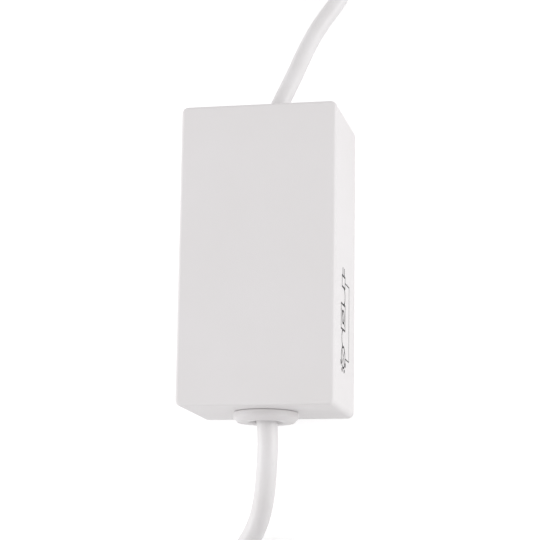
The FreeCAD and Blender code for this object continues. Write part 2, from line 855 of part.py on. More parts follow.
def make_transformer():
    """Ferrite core of two E halves round a flanged bobbin."""
    x0, x1 = transformer_x - transformer_width / 2, transformer_x + transformer_width / 2
    y0, y1 = transformer_y - transformer_depth / 2, transformer_y + transformer_depth / 2
    flange = bobbin_flange
    leg = transformer_leg
    shelf = leg * window_share
    core_y0, core_y1 = transformer_y - leg, transformer_y + leg
    z0, z1 = part_foot + flange, part_foot + flange + transformer_height - wall
    core = box(x0, x1, core_y0, core_y1, z0, z1)
    window = box(x0 + leg, x1 - leg, core_y0 - wall, core_y1 + wall, z0 + shelf, z1 - shelf)
    middle = box(transformer_x - leg / 2, transformer_x + leg / 2, core_y0, core_y1, z0, z1)
    core = joined(core.cut(window), [middle])
    bobbin = box(x0 + leg + seat_gap, x1 - leg - seat_gap, y0, y1, z0 + shelf + seat_gap, z1 - shelf - seat_gap)
    bobbin = bobbin.cut(box(transformer_x - leg / 2 - seat_gap, transformer_x + leg / 2 + seat_gap,
                            core_y0 - seat_gap, core_y1 + seat_gap, z0, z1))
    base = box(x0, x1, y0, y1, part_foot, part_foot + flange - seat_gap)
    return core, group([bobbin, base])


def make_trimmer_rotor():
    """Round setting disc with a screwdriver slot."""
    z0 = board_top + trimmer_height + seat_gap
    rotor = post(rotor_radius, service_x, trimmer_y, z0, z0 + rotor_height)
    return rotor.cut(box(service_x - rotor_radius, service_x + rotor_radius,
                         trimmer_y - driver_slot_half_width, trimmer_y + driver_slot_half_width,
                         z0 + rotor_height / 2, z0 + rotor_height))


def upright_block(x, y, half_x, half_y, z0, z1):
    """A block centred on a point of the board."""
    return box(x - half_x, x + half_x, y - half_y, y + half_y, z0, z1)


def board_nodes():
    """Everything on the circuit board apart from the terminals."""
    bodies, frames, transistor_screws = make_transistors()
    core, bobbin = make_transformer()
    varistor_z = part_foot + varistor_radius
    radio_foot = board_top + radio_lift
    radio_x0, radio_x1 = chip_x - radio_width / 2, chip_x + radio_width / 2
    header_y = radio_y + radio_thickness
    switch_top = board_top + switch_height
    plunger_well = board_top + switch_height / 2
    shield_y = radio_y - seat_gap
    leads = [post(lead_radius, x, y, lead_tip, part_foot - seat_gap) for x, y in wire_lead_places()]
    for number in range(4):
        for side in SIDES:
            x = chip_x + (number - 1.5) * chip_lead_pitch
            leads.append(box(x - chip_lead_half_width, x + chip_lead_half_width,
                             chip_y + side * chip_lead_inner, chip_y + side * chip_lead_outer,
                             board_top + seat_gap, board_top + chip_lead_top))
    can = post(electrolytic_radius, electrolytic_x, electrolytic_y, part_foot, part_foot + electrolytic_height)
    can = can.makeFillet(can_edge_radius, [edge for edge in can.Edges if edge.BoundBox.ZLength < seat_gap])
    film = upright_block(film_x, film_y, film_width / 2, film_length / 2, part_foot, part_foot + film_height)
    film = film.makeFillet(film_edge_radius, film.Edges)
    switch = upright_block(service_x, switch_y, switch_side / 2, switch_side / 2, board_top + seat_gap, switch_top)
    return {
        "circuit_board": make_board(),
        "board_screws": make_board_screws(),
        "fuse": post(fuse_radius, fuse_x, filter_y, part_foot, part_foot + fuse_height),
        "varistor": along_y(varistor_radius, service_x, varistor_z, filter_y - varistor_thickness / 2,
                            filter_y + varistor_thickness / 2),
        "film_capacitor": film,
        "electrolytic_capacitor": can,
        "choke_core": make_choke_core(),
        "choke_winding": make_choke_winding(),
        "transformer_core": core,
        "transformer_bobbin": bobbin,
        "transistor_bodies": bodies,
        "transistor_frames": frames,
        "transistor_screws": transistor_screws,
        "heat_spreader": make_heat_spreader(),
        "control_chip": upright_block(chip_x, chip_y, chip_half_x, chip_half_y,
                                      board_top + chip_lift, board_top + chip_height),
        "component_leads": group(leads),
        "radio_board": box(radio_x0, radio_x1, radio_y, radio_y + radio_thickness,
                           radio_foot - wall, radio_foot + radio_height - wall),
        "radio_shield": box(chip_x - radio_width / 3, chip_x + radio_width / 3, shield_y - shield_depth, shield_y,
                            radio_foot + shield_foot, radio_foot + shield_top),
        "radio_header": box(radio_x0 + header_inset, radio_x1 - header_inset, header_y + seat_gap,
                            header_y + header_depth, board_top + seat_gap, radio_foot + header_rise),
        "pairing_switch": switch.cut(post(plunger_radius + cage_clearance, service_x, switch_y,
                                          plunger_well, terminal_top)),
        "pairing_plunger": post(plunger_radius, service_x, switch_y,
                                plunger_well + plunger_travel + cage_clearance, switch_top + plunger_height),
        "trimmer_base": upright_block(service_x, trimmer_y, trimmer_side / 2, trimmer_side / 2,
                                      board_top + seat_gap, board_top + trimmer_height),
        "trimmer_rotor": make_trimmer_rotor(),
    }


# Heights at which the hanks lie
hank_floor = floor_gap + tie_thickness + tie_clearance / 2
supply_floor = hank_floor + supply_diameter / 2
lamp_floor = hank_floor + lamp_diameter / 2


def smooth(share):
    """An even rise from 0 to 1 that starts and ends level."""
    share = min(max(share, 0), 1)
    return share * share * (3 - 2 * share)


def slope(share):
    """How steep that rise is."""
    return 6 * share * (1 - share) if 0 < share < 1 else 0


class Hank:
    """Loops of cord wound round a near end and a far end, eight places to a loop.

    The first place is where the near end meets the outgoing run. Loops spiral in to inner_bend and
    out again, and climb a layer along the outgoing run at every eighth place after the ninth.
    """

    def __init__(self, diameter, inner_bend, step, waist_step, run, draw, centre, way, entry_angle, floor,
                 layers, last):
        self.radius = diameter / 2
        self.inner, self.step, self.waist_step = inner_bend, step, waist_step
        self.run, self.draw, self.centre, self.way = run, draw, centre, way
        self.entry, self.floor, self.last = math.radians(entry_angle), floor, last
        self.reversals = [9 + 8 * number for number in range(layers - 1)]

    def bend(self, place):
        """Distance of the cord from the hank's middle line at a place."""
        per_place = self.step / 8
        distance = self.inner + (9 - place) * per_place if place < 9 else self.inner
        marks = self.reversals + [self.last]
        for number in range(len(marks) - 1):
            covered = min(max(place - marks[number], 0), marks[number + 1] - marks[number])
            distance += covered * per_place * (1 if number % 2 == 0 else -1)
        return distance

    def height(self, place):
        """Height of the cord, with a layer's climb about each reversal."""
        return self.floor + self.step * sum(smooth((place - mark + 1) / 2) for mark in self.reversals)

    def climb(self, place):
        """Steepness of the cord at a reversal."""
        return sum(slope((place - mark + 1) / 2) for mark in self.reversals) * self.step / self.run

    def spot(self, across, along, height):
        """A point, from its distance across and along the hank towards its far end."""
        return Vector(self.centre[0] - self.way * across, self.centre[1] - self.way * along, height)

    def heading(self, across, along, rise=0.0):
        """A direction in the same terms."""
        return Vector(-self.way * across, -self.way * along, rise)

    def node(self, place):
        """Point and direction of the cord at one of the eight places of a loop."""
        bend, height, climb = self.bend(place), self.height(place), self.climb(place)
        waist = self.inner - self.draw + (bend - self.inner) * self.waist_step / self.step
        across, along, ahead, aside = [
            (bend, 0, 1, 0), (waist, self.run / 2, 1, 0), (bend, self.run, 1, 0), (0, self.run + bend, 0, -1),
            (-bend, self.run, -1, 0), (-waist, self.run / 2, -1, 0), (-bend, 0, -1, 0), (0, -bend, 0, 1),
        ][place % 8]
        return self.spot(across, along, height), self.heading(aside, ahead, climb)

    def lead_in(self):
        """Where the cord meets the first loop, part of a turn before its first place."""
        bend = self.bend(0) + self.step / 8 * self.entry / (math.pi / 2)
        spot = self.spot(bend * math.cos(self.entry), -bend * math.sin(self.entry), self.floor)
        return spot, self.heading(math.sin(self.entry), math.cos(self.entry))

    def start(self):
        """Where the free cord becomes the hank: one diameter before the first bend."""
        spot, heading = self.lead_in()
        return spot - heading * self.radius * 2, heading

    def run_up(self, length):
        """The free cord's last run before the hank."""
        spot, heading = self.start()
        return [spot - heading * length, spot]

    def path(self, tail):
        """Lines and arcs of the whole hank, with its tail's points and directions."""
        spot, heading = self.lead_in()
        stops = [(spot, heading)] + [self.node(place) for place in range(self.last)] + tail
        curves = [Part.LineSegment(self.start()[0], spot)]
        for (p0, t0), (p1, t1) in zip(stops, stops[1:]):
            curves += biarc(p0, t0, p1, t1)
        return curves

    def turn_back(self, inset, top, rise_end, lead_out):
        """The tail: out of the last loop, round half a turn and back on top, with a straight end."""
        near = self.last % 8 == 6
        along = 0 if near else self.run
        side = -1 if near else 1
        bend = self.bend(self.last)
        radius = (bend + inset) / 2
        low = self.height(self.last)
        total = self.run / 2 + math.pi * radius * rise_end
        places = []
        for share, quarter in ((self.run / 2, 0), (self.run / 2 + math.pi * radius / 2, 1),
                               (self.run / 2 + math.pi * radius, 2)):
            height = low + (top - low) * smooth(share / total)
            rise = (top - low) * slope(share / total) / total
            across = side * (bend - radius + radius * (1 - quarter))
            ahead = (1 - quarter) * side
            aside = -side if quarter == 1 else 0
            reach = along + side * (radius if quarter == 1 else 0)
            places.append((self.spot(across, reach, height), self.heading(aside, ahead, rise)))
        last, heading = places[-1]
        places.append((last + Vector(heading).normalize() * lead_out, heading))
        return places


def bent_tube_path(points):
    """Straight runs joined by tangent arcs, each as large as its shorter run allows."""
    curves, radii = [], []
    reached = points[0]
    for before, corner, after in zip(points, points[1:], points[2:]):
        back, ahead = before - corner, after - corner
        cut = 0.45 * min(back.Length, ahead.Length)
        start = corner + Vector(back).normalize() * cut
        stop = corner + Vector(ahead).normalize() * cut
        half_turn = (math.pi - back.getAngle(ahead)) / 2
        radii.append(cut / math.tan(half_turn))
        curves.append(Part.LineSegment(reached, start))
        curves += arc_through(start, corner, stop)
        reached = stop
    curves.append(Part.LineSegment(reached, points[-1]))
    return curves, radii


def least_gap(curves, diameter):
    """Smallest space between stretches of one cord that lie at least three diameters apart along it."""
    spacing = 1.5
    points, reach = [], 0.0
    for curve in curves:
        count = max(1, int(curve.length() / spacing))
        for number in range(count):
            share = number / count
            spot = curve.value(curve.FirstParameter + share * (curve.LastParameter - curve.FirstParameter))
            points.append((reach + share * curve.length(), spot.x, spot.y, spot.z))
        reach += curve.length()
    least = reach
    for number, (s0, x0, y0, z0) in enumerate(points):
        for s1, x1, y1, z1 in points[number + 1:]:
            if s1 - s0 > 3 * diameter:
                least = min(least, (x0 - x1) ** 2 + (y0 - y1) ** 2 + (z0 - z1) ** 2)
    return math.sqrt(least) - diameter


def tie_band(hank, top_height):
    """A flat band round the hank's waist."""
    outer = max(hank.inner - hank.draw + (hank.bend(place) - hank.inner) * hank.waist_step / hank.step
                for place in range(hank.last + 1) if place % 4 == 1)
    half_x = outer + hank.radius + tie_clearance + tie_thickness
    middle = hank.spot(0, hank.run / 2, 0)
    z0, z1 = floor_gap, top_height
    radius = hank.radius + tie_thickness
    block = box(-half_x, half_x, -tie_width / 2, tie_width / 2, z0, z1)
    lengthwise = [edge for edge in block.Edges if edge.BoundBox.YLength > tie_width / 2]
    block = block.makeFillet(radius, lengthwise)
    inside = box(-half_x + tie_thickness, half_x - tie_thickness, -tie_width, tie_width,
                 z0 + tie_thickness, z1 - tie_thickness)
    lengthwise = [edge for edge in inside.Edges if edge.BoundBox.YLength > tie_width / 2]
    band = block.cut(inside.makeFillet(radius - tie_thickness, lengthwise))
    band.translate(middle)
    return band


supply_hank = Hank(supply_diameter, supply_inner_bend, supply_step, supply_waist_step, supply_run,
                   supply_draw, (supply_hank_x, supply_hank_y), 1, supply_entry_angle, supply_floor,
                   supply_layer_count, supply_place_count)
lamp_hank = Hank(lamp_diameter, lamp_inner_bend, lamp_step, lamp_waist_step, lamp_run,
                 lamp_draw, (lamp_hank_x, lamp_hank_y), -1, lamp_entry_angle, lamp_floor,
                 lamp_layer_count, lamp_place_count)
supply_band_top = supply_hank.height(supply_place_count) + supply_diameter / 2 + tie_slack + tie_thickness
lamp_band_top = lamp_hank.height(lamp_place_count) + lamp_diameter / 2 + tie_slack + tie_thickness
plug_axis_height = supply_band_top + tie_clearance + plug_thickness / 2
lamp_end_height = lamp_band_top + tie_clearance + lamp_diameter / 2


def rounded_section(y, half_x, half_z, radius):
    """A closed outline across the plug, with round corners."""
    flat_x, flat_z = half_x - radius, half_z - radius
    bulge = radius * math.sqrt(0.5)
    edges = []
    for sx, sz in ((1, 1), (-1, 1), (-1, -1), (1, -1)):
        middle = Vector(sx * (flat_x + bulge), y, sz * (flat_z + bulge))
        along_x, along_z = Vector(sx * flat_x, y, sz * half_z), Vector(sx * half_x, y, sz * flat_z)
        first, second = (along_z, along_x) if sx * sz > 0 else (along_x, along_z)
        edges.append((first, middle, second))
    curves = []
    for number, (first, middle, second) in enumerate(edges):
        curves.append(Part.Arc(first, middle, second).toShape())
        curves.append(Part.LineSegment(second, edges[(number + 1) % 4][0]).toShape())
    return Part.Wire(curves)


def make_plug():
    """Flat two-pin plug, laid along +Y from the cord's end: body with its boot, pins and pin sleeves."""
    half_x, half_z = plug_width / 2, plug_thickness / 2
    tip = boot_length + plug_length
    sections = [(boot_length + plug_length * along, half_x * wide, half_z * thick, half_z * corner)
                for along, wide, thick, corner in plug_outline]
    body = Part.makeLoft([rounded_section(*section) for section in sections], True, True)
    groove = boot_groove
    outline = [Vector(0, 0, 0), Vector(boot_radius, 0, 0)]
    for number in range(groove_count):
        y = groove_start + number * groove_pitch
        y_in, y_out = y + groove_side, y + groove_side + groove_width
        out = boot_radius + (boot_end_radius - boot_radius) * y / boot_length
        outline += [Vector(out, y, 0), Vector(out - groove, y_in, 0), Vector(out - groove, y_out, 0),
                    Vector(out, y_out + groove_side, 0)]
    outline += [Vector(boot_end_radius, boot_length, 0), Vector(0, boot_length, 0)]
    boot = revolved(outline, Vector(), Vector(0, 1, 0))
    pins, sleeves = [], []
    for side in SIDES:
        root = Vector(side * pin_root_spacing / 2, tip, 0)
        way = Vector(side * pin_tip_spacing / 2, tip + pin_length, 0) - root
        ahead = Vector(way).normalize()
        inner = pin_radius - pin_core_step
        end = root + ahead * (pin_length - pin_radius)
        metal = rod(pin_radius, root + ahead * (sleeve_length + seat_gap), end)
        metal = metal.fuse([rod(inner, root + ahead * seat_gap, end), Part.makeSphere(pin_radius, end)])
        pins.append(metal)
        sleeve = rod(pin_radius, root + ahead * seat_gap * 2, root + ahead * sleeve_length)
        sleeves.append(sleeve.cut(rod(inner + seat_gap, root - ahead, root + way)))
    return body.fuse(boot), group(pins), group(sleeves)


def make_lamp_end(spot):
    """Two bare-ended cores out of the lamp cord's sheath, with a collared ferrule on each."""
    cores, ferrules = [], []
    ahead = Vector(0, 1, 0)
    for side in SIDES:
        start = spot + Vector(side * core_spread, seat_gap, 0)
        stop = start + Vector(side * core_spread * 1.4, conductor_tail, -conductor_drop)
        way = Vector(side * conductor_splay, 1, 0)
        cores.append(tube(biarc(start, ahead, stop, way), core_diameter / 2))
        way.normalize()
        collar_foot = stop + way * seat_gap
        core_radius = core_diameter / 2
        collar = Part.makeCone(core_radius + collar_flare, core_radius, collar_length, collar_foot, way)
        tip = stop + way * (collar_length + ferrule_length)
        ferrules.append(joined(collar, [rod(ferrule_radius, collar_foot, tip)]))
    return cores, group(ferrules)


def cord_nodes():
    """Free cords, hanks, ties, plug and bare lamp end, with what they measure."""
    supply_tail = supply_hank.turn_back(plug_inset, plug_axis_height, 1.0, supply_diameter)
    lamp_tail = lamp_hank.turn_back(lamp_end_inset, lamp_end_height, 0.5, lamp_lead_out)
    supply_loops, lamp_loops = supply_hank.path(supply_tail), lamp_hank.path(lamp_tail)
    supply_points = [Vector(*point) for point in supply_route] + supply_hank.run_up(supply_last_run)
    lamp_points = [lamp_exit(), lamp_exit() + lamp_heading * lamp_first_run]
    lamp_points += [Vector(*point) for point in lamp_route] + lamp_hank.run_up(lamp_last_run)
    supply_run_out, supply_radii = bent_tube_path(supply_points)
    lamp_run_out, lamp_radii = bent_tube_path(lamp_points)
    cords = (("supply", supply_run_out, supply_loops, supply_radii, supply_diameter),
             ("lamp", lamp_run_out, lamp_loops, lamp_radii, lamp_diameter))
    for label, free, loops, radii, size in cords:
        print(label, "cord: length %.1f mm, bend radii of the free stretch %s, least gap in the hank %.2f mm"
              % (length_of(free) + length_of(loops), [round(radius, 1) for radius in radii], least_gap(loops, size)))
    plug = [shape.translated(supply_tail[-1][0]) for shape in make_plug()]
    cores, ferrules = make_lamp_end(lamp_tail[-1][0])
    return {
        "supply_cord": tube(supply_run_out, supply_diameter / 2),
        "supply_hank": tube(supply_loops, supply_diameter / 2),
        "lamp_cord": tube(lamp_run_out, lamp_diameter / 2),
        "lamp_hank": tube(lamp_loops, lamp_diameter / 2),
        "cord_ties": group([tie_band(supply_hank, supply_band_top), tie_band(lamp_hank, lamp_band_top)]),
        "plug_body": plug[0],
        "plug_pins": plug[1],
        "plug_pin_sleeves": plug[2],
        "lamp_end_live_core": cores[0],
        "lamp_end_neutral_core": cores[1],
        "lamp_end_ferrules": ferrules,
    }


os.makedirs("parts", exist_ok=True)
nodes = {}
for made in (case_nodes(), terminal_nodes(), wiring_nodes(), board_nodes(), cord_nodes()):
    nodes.update(made)
for name, shape in nodes.items():
    shape.exportStep(os.path.join("parts", name + ".step"))
    print(name, "valid" if shape.isValid() else "NOT VALID", len(shape.Solids), "solids")
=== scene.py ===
"""Looks of an inline lamp dimmer: a plain white case with a round cord out of each end."""
import math

import bmesh
import bpy
from mathutils import Matrix, Vector


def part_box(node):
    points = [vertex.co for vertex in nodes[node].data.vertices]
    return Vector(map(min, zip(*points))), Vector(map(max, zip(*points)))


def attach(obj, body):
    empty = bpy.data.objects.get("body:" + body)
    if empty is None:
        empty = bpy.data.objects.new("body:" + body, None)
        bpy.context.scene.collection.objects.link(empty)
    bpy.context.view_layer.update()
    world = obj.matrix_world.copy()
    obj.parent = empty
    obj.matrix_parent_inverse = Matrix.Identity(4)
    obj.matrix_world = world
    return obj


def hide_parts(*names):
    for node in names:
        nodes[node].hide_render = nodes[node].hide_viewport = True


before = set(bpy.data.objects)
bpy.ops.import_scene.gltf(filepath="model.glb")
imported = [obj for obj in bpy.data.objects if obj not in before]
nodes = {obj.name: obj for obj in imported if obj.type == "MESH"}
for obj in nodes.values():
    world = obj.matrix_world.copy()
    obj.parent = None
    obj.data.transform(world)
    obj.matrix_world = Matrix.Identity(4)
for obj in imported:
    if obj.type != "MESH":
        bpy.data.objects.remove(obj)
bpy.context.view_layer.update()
# Sizes are written in millimetres and placed in metres.
MM = 0.001

# Camera
# A long lens above the dimmer, a little to its right and below its middle, so that the right side and the
# lower end just show.
camera = bpy.data.objects.new("camera", bpy.data.cameras.new("camera"))
bpy.context.collection.objects.link(camera)
camera.data.lens = 120.35
camera.data.sensor_width = 36.0
camera.data.clip_start = 0.01
camera.location = Vector((114.254, -112.774, 549.321)) * MM
camera.rotation_euler = [math.radians(turn) for turn in (11.684, 11.894, 0.839)]
bpy.context.scene.camera = camera

# Supply cord
# A round white vinyl-sheathed lead, 6.4 mm thick and 1.2 m long. It comes straight out of the case, sags
# to the table and is wound into a hank of four layers under its own plug.


class Value:
    """An output of a node that takes part in plain arithmetic."""

    def __init__(self, finish, socket):
        self.finish = finish
        self.socket = socket

    def maths(self, operation, first, second=0.0):
        return self.finish.node("ShaderNodeMath", {"operation": operation}, {0: first, 1: second})

    def __add__(self, other):
        return self.maths("ADD", self, other)

    def __sub__(self, other):
        return self.maths("SUBTRACT", self, other)

    def __rsub__(self, other):
        return self.maths("SUBTRACT", other, self)

    def __mul__(self, other):
        return self.maths("MULTIPLY", self, other)

    def __gt__(self, other):
        return self.maths("GREATER_THAN", self, other)

    def __lt__(self, other):
        return self.maths("LESS_THAN", self, other)

    def __abs__(self):
        return self.maths("ABSOLUTE", self)

    __radd__ = __add__
    __rmul__ = __mul__

    def most(self, other):
        """The greater of this value and another."""
        return self.maths("MAXIMUM", self, other)

    def least(self, other):
        """The smaller of this value and another."""
        return self.maths("MINIMUM", self, other)

    def within(self, low, high):
        """How far the value is from low to high, kept between 0 and 1."""
        return self.finish.node("ShaderNodeMapRange", {}, {"Value": self, "From Min": low, "From Max": high})


class Finish:
    """A procedural material. Constants go on its shader's sockets and everything else through node()."""

    def __init__(self, name, **constants):
        self.material = bpy.data.materials.new(name)
        self.material.use_nodes = True
        self.tree = self.material.node_tree
        self.shader = self.tree.nodes["Principled BSDF"]
        self.place = self.node("ShaderNodeTexCoord", {}, {}, "Object")
        self.surface(**constants)

    def feed(self, node, inputs):
        """Link a node's sockets to values, and set those that are given a number, colour or vector."""
        for key, value in inputs.items():
            if isinstance(value, Value):
                self.tree.links.new(value.socket, node.inputs[key])
            else:
                node.inputs[key].default_value = value

    def node(self, kind, settings, inputs, output=0):
        """Add a node, with its settings first and then its sockets, and give one of its outputs."""
        made = self.tree.nodes.new(kind)
        for key, value in settings.items():
            setattr(made, key, value)
        self.feed(made, inputs)
        return Value(self, made.outputs[output])

    def surface(self, **inputs):
        """Set or link the shader's sockets, with _ for each blank in their names."""
        self.feed(self.shader, {key.replace("_", " "): value for key, value in inputs.items()})

    def bump(self, height, depth):
        """Relief of so many millimetres where height is 1."""
        self.surface(Normal=self.node("ShaderNodeBump", {}, {"Height": height, "Distance": depth * MM}))

    def noise(self, scale, detail=2.0, roughness=0.5, at=None):
        """Cloudy noise, at the object's own coordinates where none are given."""
        return self.node("ShaderNodeTexNoise", {}, {"Vector": at or self.place, "Scale": scale,
                                                    "Detail": detail, "Roughness": roughness})

    def mix(self, share, first, second):
        """One colour, turning into another as share goes from 0 to 1."""
        share_in, first_in, second_in, colour_out = 0, 6, 7, 2
        return self.node("ShaderNodeMix", {"data_type": "RGBA"},
                         {share_in: share, first_in: first, second_in: second}, colour_out)

    def stretched(self, x, y, z):
        """The object's own coordinates, drawn out or squeezed along each axis."""
        return self.node("ShaderNodeVectorMath", {"operation": "MULTIPLY"}, {0: self.place, 1: (x, y, z)})

    def axis(self, number):
        """One of the object's own coordinates, in metres."""
        return self.node("ShaderNodeSeparateXYZ", {}, {0: self.place}, number)


def colour(red, green, blue):
    return (red, green, blue, 1.0)


def vinyl(name, clean, handled):
    """Soft extruded vinyl: satin, with faint ripples from the die and a little handling dirt."""
    finish = Finish(name, Specular_IOR_Level=0.5)
    dirt = finish.noise(90.0, 4.0, 0.6).within(0.42, 0.8)
    ripple = finish.noise(420.0, 3.0)
    finish.surface(Base_Color=finish.mix(dirt * 0.5, clean, handled), Roughness=0.34 + ripple * 0.16)
    finish.bump(ripple * 0.7 + finish.noise(2600.0, 1.0) * 0.3, 0.05)
    return finish.material


cord_vinyl = vinyl("cord_vinyl", colour(0.80, 0.79, 0.795), colour(0.72, 0.70, 0.69))

# Control points at every 30 degrees of a bend stand out by this much, so that the cord between them
# keeps the bend's radius.
bulge = 1 / math.cos(math.radians(15))


def eased(share):
    """An even rise from 0 to 1 that starts and ends level."""
    share = min(max(share, 0), 1)
    return share * share * (3 - 2 * share)


def hank_course(inner, step, waist_step, run, draw, floor, layers, last, entry):
    """Control points of a hank before its tail: distances across and along it, and heights.

    A loop has eight places: the start, middle and end of each straight side, and the crown of each round
    end. The tie draws the sides in at their middles. Loops spiral in and out again, and climb a layer at
    each reversal. The cord comes in at an angle of entry, and the place and heading there come last.
    """
    loop, first_reversal = 8, 9
    marks = [first_reversal + loop * number for number in range(layers - 1)] + [last]

    def distance(place):
        """How far the cord is from the hank's middle line."""
        reach = inner + max(first_reversal - place, 0) * step / loop
        for number, (mark, following) in enumerate(zip(marks, marks[1:])):
            covered = min(max(place - mark, 0), following - mark)
            reach += covered * step / loop * (1 if number % 2 == 0 else -1)
        return reach

    def height(place):
        """How high the cord lies."""
        return floor + step * sum(eased((place - mark + 1) / 2) for mark in marks[:-1])

    places = [-entry / 180]
    for place in range(last):
        places.append(place)
        if place % loop in (2, 3, 6, 7):
            places += [place + 1 / 3, place + 2 / 3]
    course = []
    for place in places:
        spot, reach = place % loop, distance(place)
        if spot in (1, 5):
            waist = inner - draw + (reach - inner) * waist_step / step
            across, along = waist if spot == 1 else -waist, run / 2
        elif spot in (0, 2, 4, 6):
            across, along = reach if spot < 4 else -reach, run if spot in (2, 4) else 0
        else:
            middle, quarters = (run, spot - 2) if spot < 4 else (0, spot - 4)
            turn = quarters * math.pi / 2
            across, along = reach * bulge * math.cos(turn), middle + reach * bulge * math.sin(turn)
        course.append((across, along, height(place)))
    reach, turn = distance(-entry / 90), math.radians(entry)
    meet = Vector((reach * math.cos(turn), -reach * math.sin(turn), floor))
    heading = Vector((math.sin(turn), math.cos(turn), 0))
    return course, distance(last), height(last), meet, heading


def hank_tail(side, along, reach, low, run, inset, top, rise_end, lead_out):
    """A hank's last half turn, back over its own loops, and the cord's straight end."""
    radius = (reach + inset) / 2
    total = run / 2 + math.pi * radius * rise_end
    course = []
    for number in range(7):
        turn = math.radians(30 * number)
        wide = radius if number in (0, 6) else radius * bulge
        high = low + (top - low) * eased((run / 2 + radius * turn) / total)
        across = side * (reach - radius + wide * math.cos(turn))
        course.append((across, along + side * wide * math.sin(turn), high))
    across, ahead, high = course[-1]
    return course + [(across, ahead - side * lead_out / 2, high), (across, ahead - side * lead_out, high)]


def laid(start, way, spots):
    """A hank's own distances as places on the table, from where its sides start and away from the case."""
    return [(start[0] - way * spot[0], start[1] - way * spot[1], spot[2]) for spot in spots]


def cord_piece(name, diameter, points):
    """A round vinyl cord along one smooth line through its route."""
    curve = bpy.data.curves.new(name, "CURVE")
    curve.dimensions = "3D"
    curve.bevel_depth = diameter / 2 * MM
    curve.bevel_resolution = 6
    curve.resolution_u = 8
    curve.use_fill_caps = True
    spline = curve.splines.new("NURBS")
    spline.points.add(len(points) - 1)
    for point, place in zip(spline.points, points):
        point.co = (*(Vector(place) * MM), 1.0)
    spline.order_u = 3
    spline.use_endpoint_u = True
    curve.materials.append(cord_vinyl)
    piece = bpy.data.objects.new(name, curve)
    bpy.context.collection.objects.link(piece)
    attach(piece, "base")
    return piece


bore_height = 17.5
plug_low, plug_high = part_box("plug_body")
plug_middle = (plug_low[2] + plug_high[2]) / 2 / MM
course, reach, low, meet, heading = hank_course(inner=18.3, step=7.2, waist_step=7.3, run=55.0, draw=4.0,
                                                floor=4.25, layers=4, last=34, entry=32.0)
tail = hank_tail(side=1, along=55.0, reach=reach, low=low, run=55.0, inset=7.8, top=plug_middle,
                 rise_end=1.0, lead_out=6.4)
run_in = [meet - heading * before for before in (15.4, 6.4)]
supply_route = [(0, -46, bore_height), (0.9, -53.2, bore_height), (0.1, -62.6, 15.6), (-1.4, -71.6, 11.4),
                (-4.4, -79.7, 6.7)]
supply_route += laid((4.6, -115.0), 1, run_in + course + tail)
supply_cord = cord_piece("supply_lead", 6.4, supply_route)
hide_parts("supply_cord", "supply_hank")

# Lamp cord
# The same vinyl, 5.5 mm thick and 0.7 m long. It leaves the other end a little to the right, lies on the
# table in a hank of two layers and ends in two bared cores for the lamp's own terminals.
course, reach, low, meet, heading = hank_course(inner=16.5, step=6.3, waist_step=6.4, run=36.0, draw=3.0,
                                                floor=3.8, layers=2, last=22, entry=20.0)
tail = hank_tail(side=-1, along=0.0, reach=reach, low=low, run=36.0, inset=7.0, top=17.5, rise_end=0.5,
                 lead_out=24.0)
run_in = [meet - heading * before for before in (15.9, 5.5)]
lamp_route = [(1.2, 47.02, 17.14), (3.6, 52.4, 16.8), (6.9, 61.0, 14.2), (9.2, 70.0, 9.6), (12.9, 79.6, 5.95),
              (18.9, 88.4, 3.95)]
lamp_route += laid((6.0, 120.0), -1, run_in + course + tail)
lamp_cord = cord_piece("lamp_lead", 5.5, lamp_route)
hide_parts("lamp_cord", "lamp_hank")

# Table and light
# A plain pale table that keeps the soft shadow, in a bright even room with one large soft lamp at each
# side and a weak one in front.


class Room(Finish):
    """The air and the backdrop round the table, whose nodes are added as a finish's are."""

    def __init__(self, name):
        world = bpy.data.worlds.new(name)
        bpy.context.scene.world = world
        world.use_nodes = True
        self.tree = world.node_tree


def seen_directly(finish):
    """1 where the camera, a mirror or glass looks, and 0 where light is only passed on."""
    seen = finish.node("ShaderNodeLightPath", {}, {}, "Is Camera Ray")
    for kind in ("Is Glossy Ray", "Is Transmission Ray"):
        seen = seen.most(finish.node("ShaderNodeLightPath", {}, {}, kind))
    return seen


def finished(name, shape, smooth_below=None):
    """An object of its own from a bmesh, smooth across edges that turn less than an angle in degrees."""
    mesh = bpy.data.meshes.new(name)
    if smooth_below is not None:
        for face in shape.faces:
            face.smooth = True
        for edge in shape.edges:
            if edge.is_manifold and edge.calc_face_angle() > math.radians(smooth_below):
                edge.smooth = False
    shape.to_mesh(mesh)
    shape.free()
    piece = bpy.data.objects.new(name, mesh)
    bpy.context.collection.objects.link(piece)
    return piece


# The table stays a hair below the case, so that their faces never share a plane.
table_gap = 0.1
table_glow = 0.42
room_level = 0.705
table_top = bmesh.new()
bmesh.ops.create_grid(table_top, x_segments=1, y_segments=1, size=3.0)
bmesh.ops.translate(table_top, verts=table_top.verts[:], vec=(0, 0, -table_gap * MM))
floor = finished("floor", table_top)
table = Finish("table", Base_Color=colour(0.8, 0.8, 0.8), Roughness=0.9, Specular_IOR_Level=0.1)
glow = table.mix(seen_directly(table), colour(0, 0, 0), colour(table_glow, table_glow, table_glow))
table.surface(Emission_Color=glow, Emission_Strength=1.0)
floor.data.materials.append(table.material)

room = Room("room")
air = room.tree.nodes["Background"]
room.feed(air, {"Color": colour(1.0, 0.985, 0.99), "Strength": room_level})
backdrop = room.node("ShaderNodeBackground", {}, {"Color": colour(1.0, 1.0, 1.0)})
around = room.node("ShaderNodeMixShader", {},
                   {0: seen_directly(room), 1: Value(room, air.outputs[0]), 2: backdrop})
room.feed(room.tree.nodes["World Output"], {"Surface": around})


